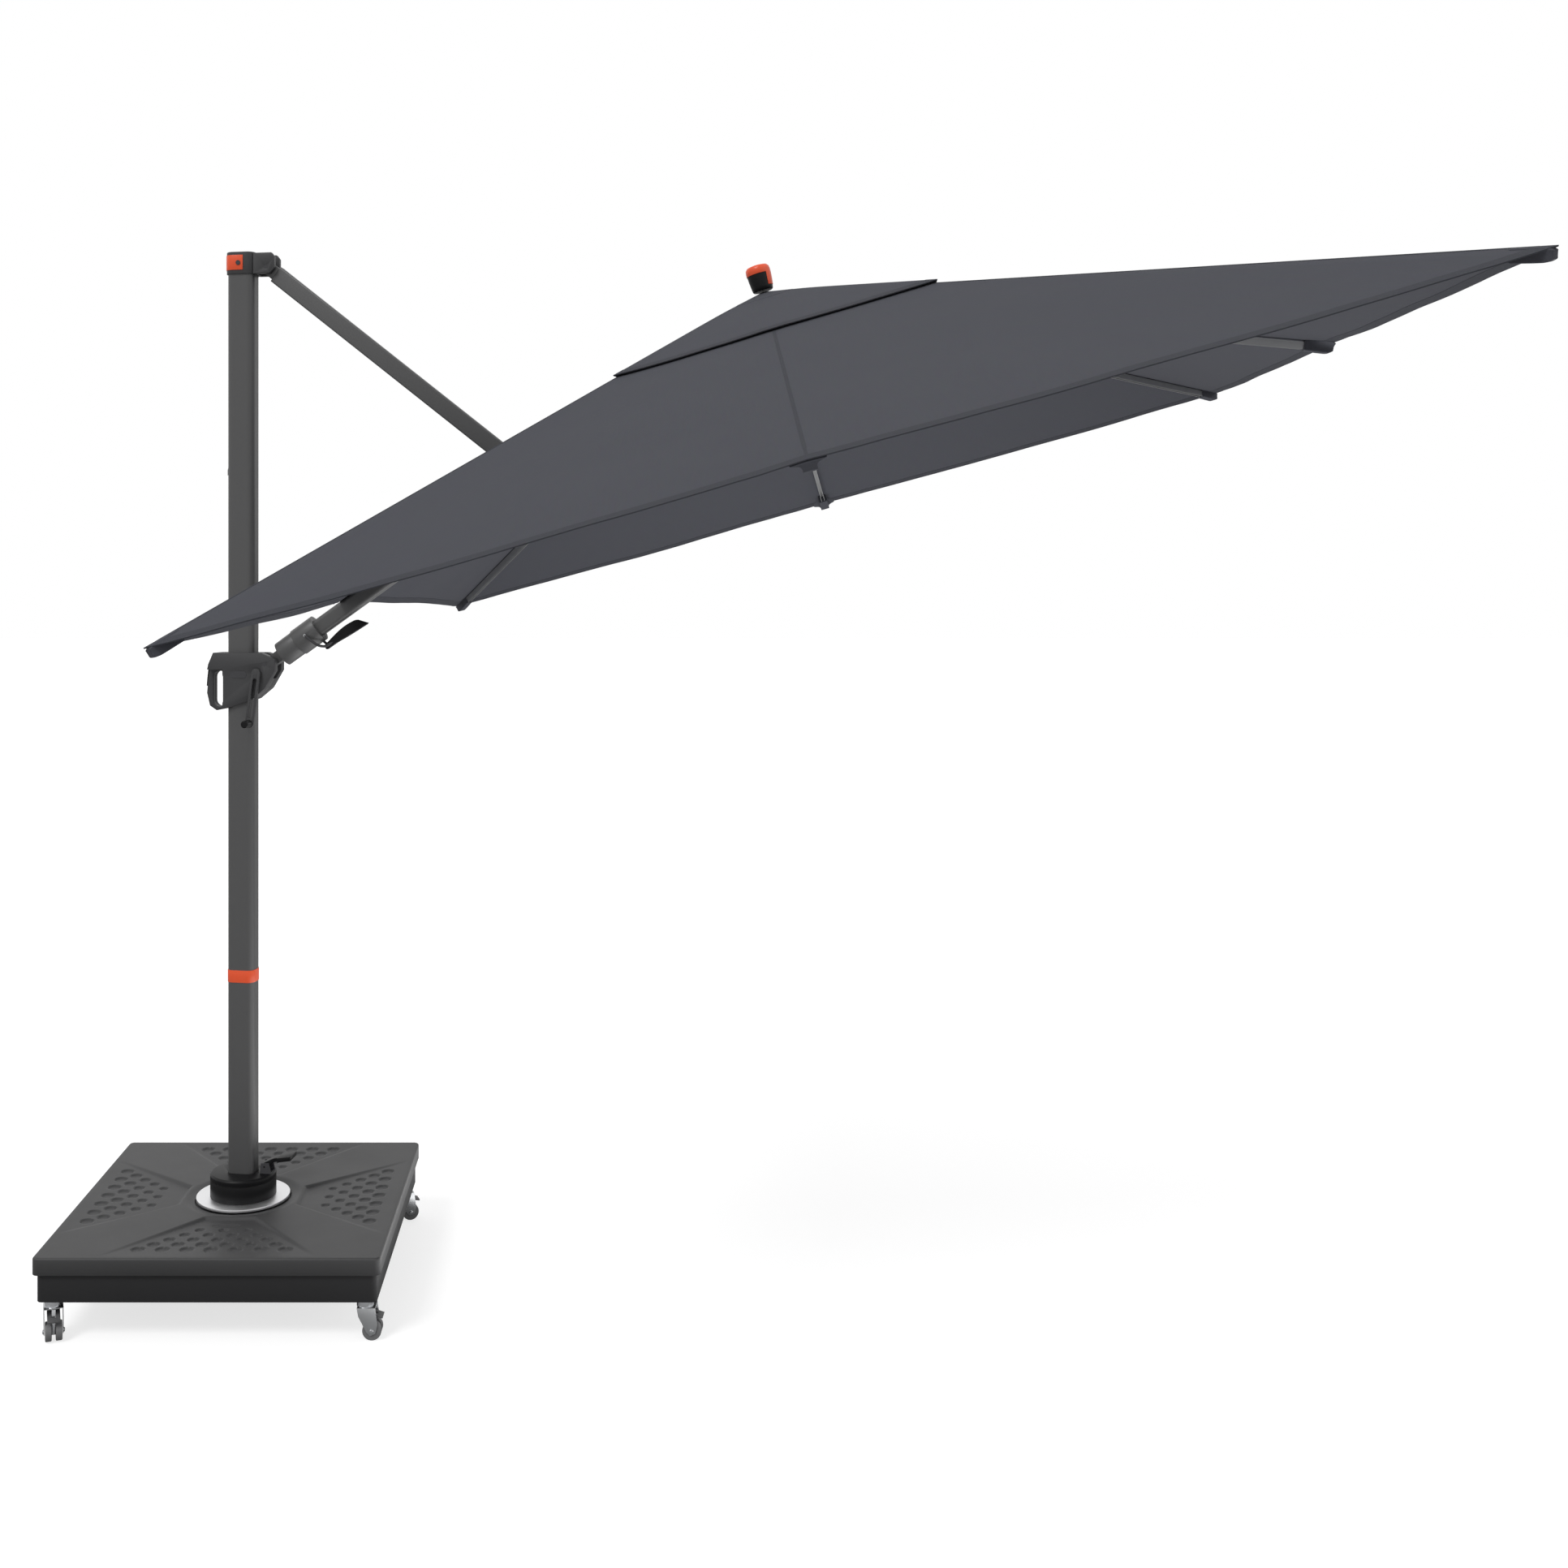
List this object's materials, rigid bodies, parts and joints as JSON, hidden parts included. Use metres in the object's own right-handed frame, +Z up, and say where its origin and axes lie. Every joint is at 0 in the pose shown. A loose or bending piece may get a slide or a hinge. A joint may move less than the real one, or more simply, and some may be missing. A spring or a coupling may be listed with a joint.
{
  "type": "cantilever parasol",
  "caption": "Square cantilever parasol: weighted base on castors, turning mast, slider on a crank, tilting boom and strut, folding canopy.",
  "frame": {"origin": "on the floor under the mast axis", "axes": "+Z up along the mast, +X from the mast under the canopy, +Y to the rear; base sides lie along X and Y"},
  "size_m": [3.7186, 3.2344, 3.03],
  "materials": {
    "base_grey": "matte",
    "concrete": "matte",
    "black_steel": "matte",
    "satin_aluminium": "satin",
    "zinc": "satin",
    "chrome": "polished",
    "wheel_grey": "matte",
    "black_plastic": "matte",
    "graphite_coat": "satin",
    "graphite_plastic": "matte",
    "orange": "satin",
    "fabric_grey": "matte",
    "rib_silver": "satin"
  },
  "bodies": {
    "base": {"base_cover": "base_grey", "base_tray": "base_grey", "ballast_slabs": "concrete", "foot_frame": "black_steel", "foot_disc": "satin_aluminium", "foot_bolts": "zinc", "caster_cups": "chrome"},
    "caster_front_right": {"caster_fork_front_right": "zinc"},
    "wheels_front_right": {"caster_wheels_front_right": "wheel_grey"},
    "brake_front_right": {"caster_brake_front_right": "black_plastic"},
    "caster_front_left": {"caster_fork_front_left": "zinc"},
    "wheels_front_left": {"caster_wheels_front_left": "wheel_grey"},
    "brake_front_left": {"caster_brake_front_left": "black_plastic"},
    "caster_rear_left": {"caster_fork_rear_left": "zinc"},
    "wheels_rear_left": {"caster_wheels_rear_left": "wheel_grey"},
    "brake_rear_left": {"caster_brake_rear_left": "black_plastic"},
    "caster_rear_right": {"caster_fork_rear_right": "zinc"},
    "wheels_rear_right": {"caster_wheels_rear_right": "wheel_grey"},
    "brake_rear_right": {"caster_brake_rear_right": "black_plastic"},
    "mast": {"turn_drum": "black_plastic", "pedal_bracket": "black_steel", "mast_lower": "graphite_coat", "mast_upper": "graphite_coat", "mast_band": "orange", "mast_head": "graphite_plastic", "head_badge": "orange", "mast_fixings": "black_steel"},
    "foot_pedal": {"foot_pedal": "black_plastic"},
    "strut": {"strut": "graphite_coat"},
    "carrier": {"boom_yoke": "graphite_coat", "strut_collar": "graphite_coat"},
    "slider": {"slider_shell_front": "graphite_plastic", "slider_shell_rear": "graphite_plastic", "slider_bushes": "black_plastic", "slider_fixings": "black_steel"},
    "release_lever": {"release_lever": "black_plastic"},
    "crank_arm": {"crank_arm": "graphite_plastic"},
    "crank_knob": {"crank_knob": "black_plastic"},
    "boom": {"swivel_collar": "graphite_coat", "boom_tube": "graphite_coat", "hub_crown": "black_plastic", "finial": "black_plastic", "canopy": "fabric_grey", "canopy_vent": "fabric_grey"},
    "swivel_lever": {"swivel_lever": "black_plastic"},
    "rib_right": {"rib_right": "rib_silver"},
    "stay_right": {"stay_right": "rib_silver"},
    "rib_far_right": {"rib_far_right": "rib_silver"},
    "stay_far_right": {"stay_far_right": "rib_silver"},
    "rib_far": {"rib_far": "rib_silver"},
    "stay_far": {"stay_far": "rib_silver"},
    "rib_far_left": {"rib_far_left": "rib_silver"},
    "stay_far_left": {"stay_far_left": "rib_silver"},
    "rib_near_left": {"rib_near_left": "rib_silver"},
    "stay_near_left": {"stay_near_left": "rib_silver"},
    "rib_near": {"rib_near": "rib_silver"},
    "stay_near": {"stay_near": "rib_silver"},
    "rib_near_right": {"rib_near_right": "rib_silver"},
    "stay_near_right": {"stay_near_right": "rib_silver"},
    "runner": {"runner": "black_plastic"}
  },
  "joints": [
    {"name": "caster_swivel_front_right", "type": "hinge", "parent": "base", "child": "caster_front_right", "pos_m": [0.424, -0.424, 0.1], "axis": [0, 0, 1], "continuous": true},
    {"name": "wheel_spin_front_right", "type": "hinge", "parent": "caster_front_right", "child": "wheels_front_right", "pos_m": [0.444, -0.424, 0.026], "axis": [0, 1, 0], "continuous": true},
    {"name": "brake_lift_front_right", "type": "hinge", "parent": "caster_front_right", "child": "brake_front_right", "pos_m": [0.42, -0.424, 0.0707], "axis": [0, -1, 0], "range_deg": [0, 14]},
    {"name": "caster_swivel_front_left", "type": "hinge", "parent": "base", "child": "caster_front_left", "pos_m": [-0.424, -0.424, 0.1], "axis": [0, 0, 1], "continuous": true},
    {"name": "wheel_spin_front_left", "type": "hinge", "parent": "caster_front_left", "child": "wheels_front_left", "pos_m": [-0.41716, -0.44279, 0.026], "axis": [0.9397, 0.342, 0], "continuous": true},
    {"name": "brake_lift_front_left", "type": "hinge", "parent": "caster_front_left", "child": "brake_front_left", "pos_m": [-0.42537, -0.42024, 0.0707], "axis": [-0.9397, -0.342, 0], "range_deg": [0, 14]},
    {"name": "caster_swivel_rear_left", "type": "hinge", "parent": "base", "child": "caster_rear_left", "pos_m": [-0.424, 0.424, 0.1], "axis": [0, 0, 1], "continuous": true},
    {"name": "wheel_spin_rear_left", "type": "hinge", "parent": "caster_rear_left", "child": "wheels_rear_left", "pos_m": [-0.44132, 0.434, 0.026], "axis": [-0.5, -0.866, 0], "continuous": true},
    {"name": "brake_lift_rear_left", "type": "hinge", "parent": "caster_rear_left", "child": "brake_rear_left", "pos_m": [-0.42054, 0.422, 0.0707], "axis": [0.5, 0.866, 0], "range_deg": [0, 14]},
    {"name": "caster_swivel_rear_right", "type": "hinge", "parent": "base", "child": "caster_rear_right", "pos_m": [0.424, 0.424, 0.1], "axis": [0, 0, 1], "continuous": true},
    {"name": "wheel_spin_rear_right", "type": "hinge", "parent": "caster_rear_right", "child": "wheels_rear_right", "pos_m": [0.44279, 0.43084, 0.026], "axis": [-0.342, 0.9397, 0], "continuous": true},
    {"name": "brake_lift_rear_right", "type": "hinge", "parent": "caster_rear_right", "child": "brake_rear_right", "pos_m": [0.42024, 0.42263, 0.0707], "axis": [0.342, -0.9397, 0], "range_deg": [0, 14]},
    {"name": "mast_turn", "type": "hinge", "parent": "base", "child": "mast", "pos_m": [0, 0, 0.3], "axis": [0, 0, 1], "continuous": true},
    {"name": "pedal_press", "type": "hinge", "parent": "mast", "child": "foot_pedal", "pos_m": [0.07113, -0.01114, 0.3253], "axis": [0.1547, 0.988, 0], "range_deg": [0, 9], "stiffness_Nm_per_rad": 20, "springref_deg": -4.58},
    {"name": "boom_lift", "type": "hinge", "parent": "mast", "child": "strut", "pos_m": [0.07904, -0.01238, 2.984], "axis": [0.1547, 0.988, 0], "range_deg": [-18.2, 33.8]},
    {"name": "boom_pivot", "type": "hinge", "parent": "strut", "child": "carrier", "pos_m": [0.81545, -0.1277, 2.39744], "axis": [0.1547, 0.988, 0], "range_deg": [-68, 37]},
    {"name": "slider_pivot", "type": "hinge", "parent": "carrier", "child": "slider", "pos_m": [0.07904, -0.01238, 1.81088], "axis": [0.1547, 0.988, 0], "range_deg": [-18.5, 34]},
    {"name": "release_squeeze", "type": "hinge", "parent": "slider", "child": "release_lever", "pos_m": [-0.09583, 0.01501, 1.80688], "axis": [-0.1547, -0.988, 0], "range_deg": [0, 5], "stiffness_Nm_per_rad": 4, "springref_deg": -4.58},
    {"name": "crank_turn", "type": "hinge", "parent": "slider", "child": "crank_arm", "pos_m": [0.04957, -0.05837, 1.78588], "axis": [-0.1547, -0.988, 0], "continuous": true},
    {"name": "knob_spin", "type": "hinge", "parent": "crank_arm", "child": "crank_knob", "pos_m": [0.02675, -0.07504, 1.63822], "axis": [-0.1547, -0.988, 0], "continuous": true},
    {"name": "boom_roll", "type": "hinge", "parent": "carrier", "child": "boom", "pos_m": [0.16806, -0.02632, 1.87397], "axis": [0.8093, -0.1267, 0.5736], "range_deg": [-25, 25]},
    {"name": "swivel_lock", "type": "hinge", "parent": "boom", "child": "swivel_lever", "pos_m": [0.20286, -0.03177, 1.89864], "axis": [0.1408, 0.9898, 0.02], "range_deg": [0, 30]},
    {"name": "canopy_fold", "type": "hinge", "parent": "boom", "child": "rib_right", "pos_m": [1.60381, -0.25023, 2.84605], "axis": [0.1408, 0.9898, 0.02], "range_deg": [0, 64.23], "deforming": ["canopy", "canopy_vent"]},
    {"name": "stay_right_swing", "type": "hinge", "parent": "rib_right", "child": "stay_right", "pos_m": [2.07414, -0.31573, 2.77604], "axis": [0.1408, 0.9898, 0.02], "range_deg": [-130.47, 1]},
    {"name": "runner_slide", "type": "hinge", "parent": "stay_right", "child": "runner", "pos_m": [1.70675, -0.25733, 2.47269], "axis": [0.1408, 0.9898, 0.02], "range_deg": [-0.5, 65.23]},
    {"name": "fold_far_right", "type": "hinge", "parent": "boom", "child": "rib_far_right", "pos_m": [1.58892, -0.19818, 2.84995], "axis": [-0.5748, 0.7997, -0.1737], "range_deg": [-0.5, 71.23]},
    {"name": "stay_far_right_swing", "type": "hinge", "parent": "rib_far_right", "child": "stay_far_right", "pos_m": [1.92875, 0.03637, 2.80523], "axis": [-0.5748, 0.7997, -0.1737], "range_deg": [-142.47, 1]},
    {"name": "fold_far", "type": "hinge", "parent": "boom", "child": "rib_far", "pos_m": [1.54691, -0.17107, 2.82885], "axis": [-0.9537, 0.141, -0.2656], "range_deg": [-0.5, 65.23]},
    {"name": "stay_far_swing", "type": "hinge", "parent": "rib_far", "child": "stay_far", "pos_m": [1.66022, 0.26011, 2.65097], "axis": [-0.9537, 0.141, -0.2656], "range_deg": [-130.47, 1]},
    {"name": "fold_far_left", "type": "hinge", "parent": "boom", "child": "rib_far_left", "pos_m": [1.49451, -0.18422, 2.82366], "axis": [-0.7739, -0.6002, -0.202], "range_deg": [-0.5, 71.23]},
    {"name": "stay_far_left_swing", "type": "hinge", "parent": "rib_far_left", "child": "stay_far_left", "pos_m": [1.30192, 0.12908, 2.63064], "axis": [-0.7739, -0.6002, -0.202], "range_deg": [-142.47, 1]},
    {"name": "fold_near_left", "type": "hinge", "parent": "boom", "child": "rib_near_left", "pos_m": [1.48057, -0.28221, 2.82168], "axis": [0.5748, -0.7997, 0.1737], "range_deg": [-0.5, 71.23]},
    {"name": "stay_near_left_swing", "type": "hinge", "parent": "rib_near_left", "child": "stay_near_left", "pos_m": [1.20936, -0.5215, 2.61748], "axis": [0.5748, -0.7997, 0.1737], "range_deg": [-142.47, 1]},
    {"name": "fold_near", "type": "hinge", "parent": "boom", "child": "rib_near", "pos_m": [1.52719, -0.30964, 2.82605], "axis": [0.9537, -0.141, 0.2656], "range_deg": [-0.5, 65.23]},
    {"name": "stay_near_swing", "type": "hinge", "parent": "rib_near", "child": "stay_near", "pos_m": [1.51682, -0.74792, 2.63059], "axis": [0.9537, -0.141, 0.2656], "range_deg": [-130.47, 1]},
    {"name": "fold_near_right", "type": "hinge", "parent": "boom", "child": "rib_near_right", "pos_m": [1.57498, -0.29617, 2.84797], "axis": [0.7739, 0.6002, 0.202], "range_deg": [-0.5, 71.23]},
    {"name": "stay_near_right_swing", "type": "hinge", "parent": "rib_near_right", "child": "stay_near_right", "pos_m": [1.8362, -0.61421, 2.79208], "axis": [0.7739, 0.6002, 0.202], "range_deg": [-142.47, 1]}
  ],
  "couplings": [
    {"joint": "boom_pivot", "follows": "boom_lift", "ratio": -2},
    {"joint": "slider_pivot", "follows": "boom_lift", "ratio": 1},
    {"joint": "stay_right_swing", "follows": "canopy_fold", "ratio": -2},
    {"joint": "runner_slide", "follows": "canopy_fold", "ratio": 1},
    {"joint": "fold_far_right", "follows": "canopy_fold", "ratio": 1.0934},
    {"joint": "stay_far_right_swing", "follows": "canopy_fold", "ratio": -2.1868},
    {"joint": "fold_far", "follows": "canopy_fold", "ratio": 1},
    {"joint": "stay_far_swing", "follows": "canopy_fold", "ratio": -2},
    {"joint": "fold_far_left", "follows": "canopy_fold", "ratio": 1.0934},
    {"joint": "stay_far_left_swing", "follows": "canopy_fold", "ratio": -2.1868},
    {"joint": "fold_near_left", "follows": "canopy_fold", "ratio": 1.0934},
    {"joint": "stay_near_left_swing", "follows": "canopy_fold", "ratio": -2.1868},
    {"joint": "fold_near", "follows": "canopy_fold", "ratio": 1},
    {"joint": "stay_near_swing", "follows": "canopy_fold", "ratio": -2},
    {"joint": "fold_near_right", "follows": "canopy_fold", "ratio": 1.0934},
    {"joint": "stay_near_right_swing", "follows": "canopy_fold", "ratio": -2.1868}
  ]
}
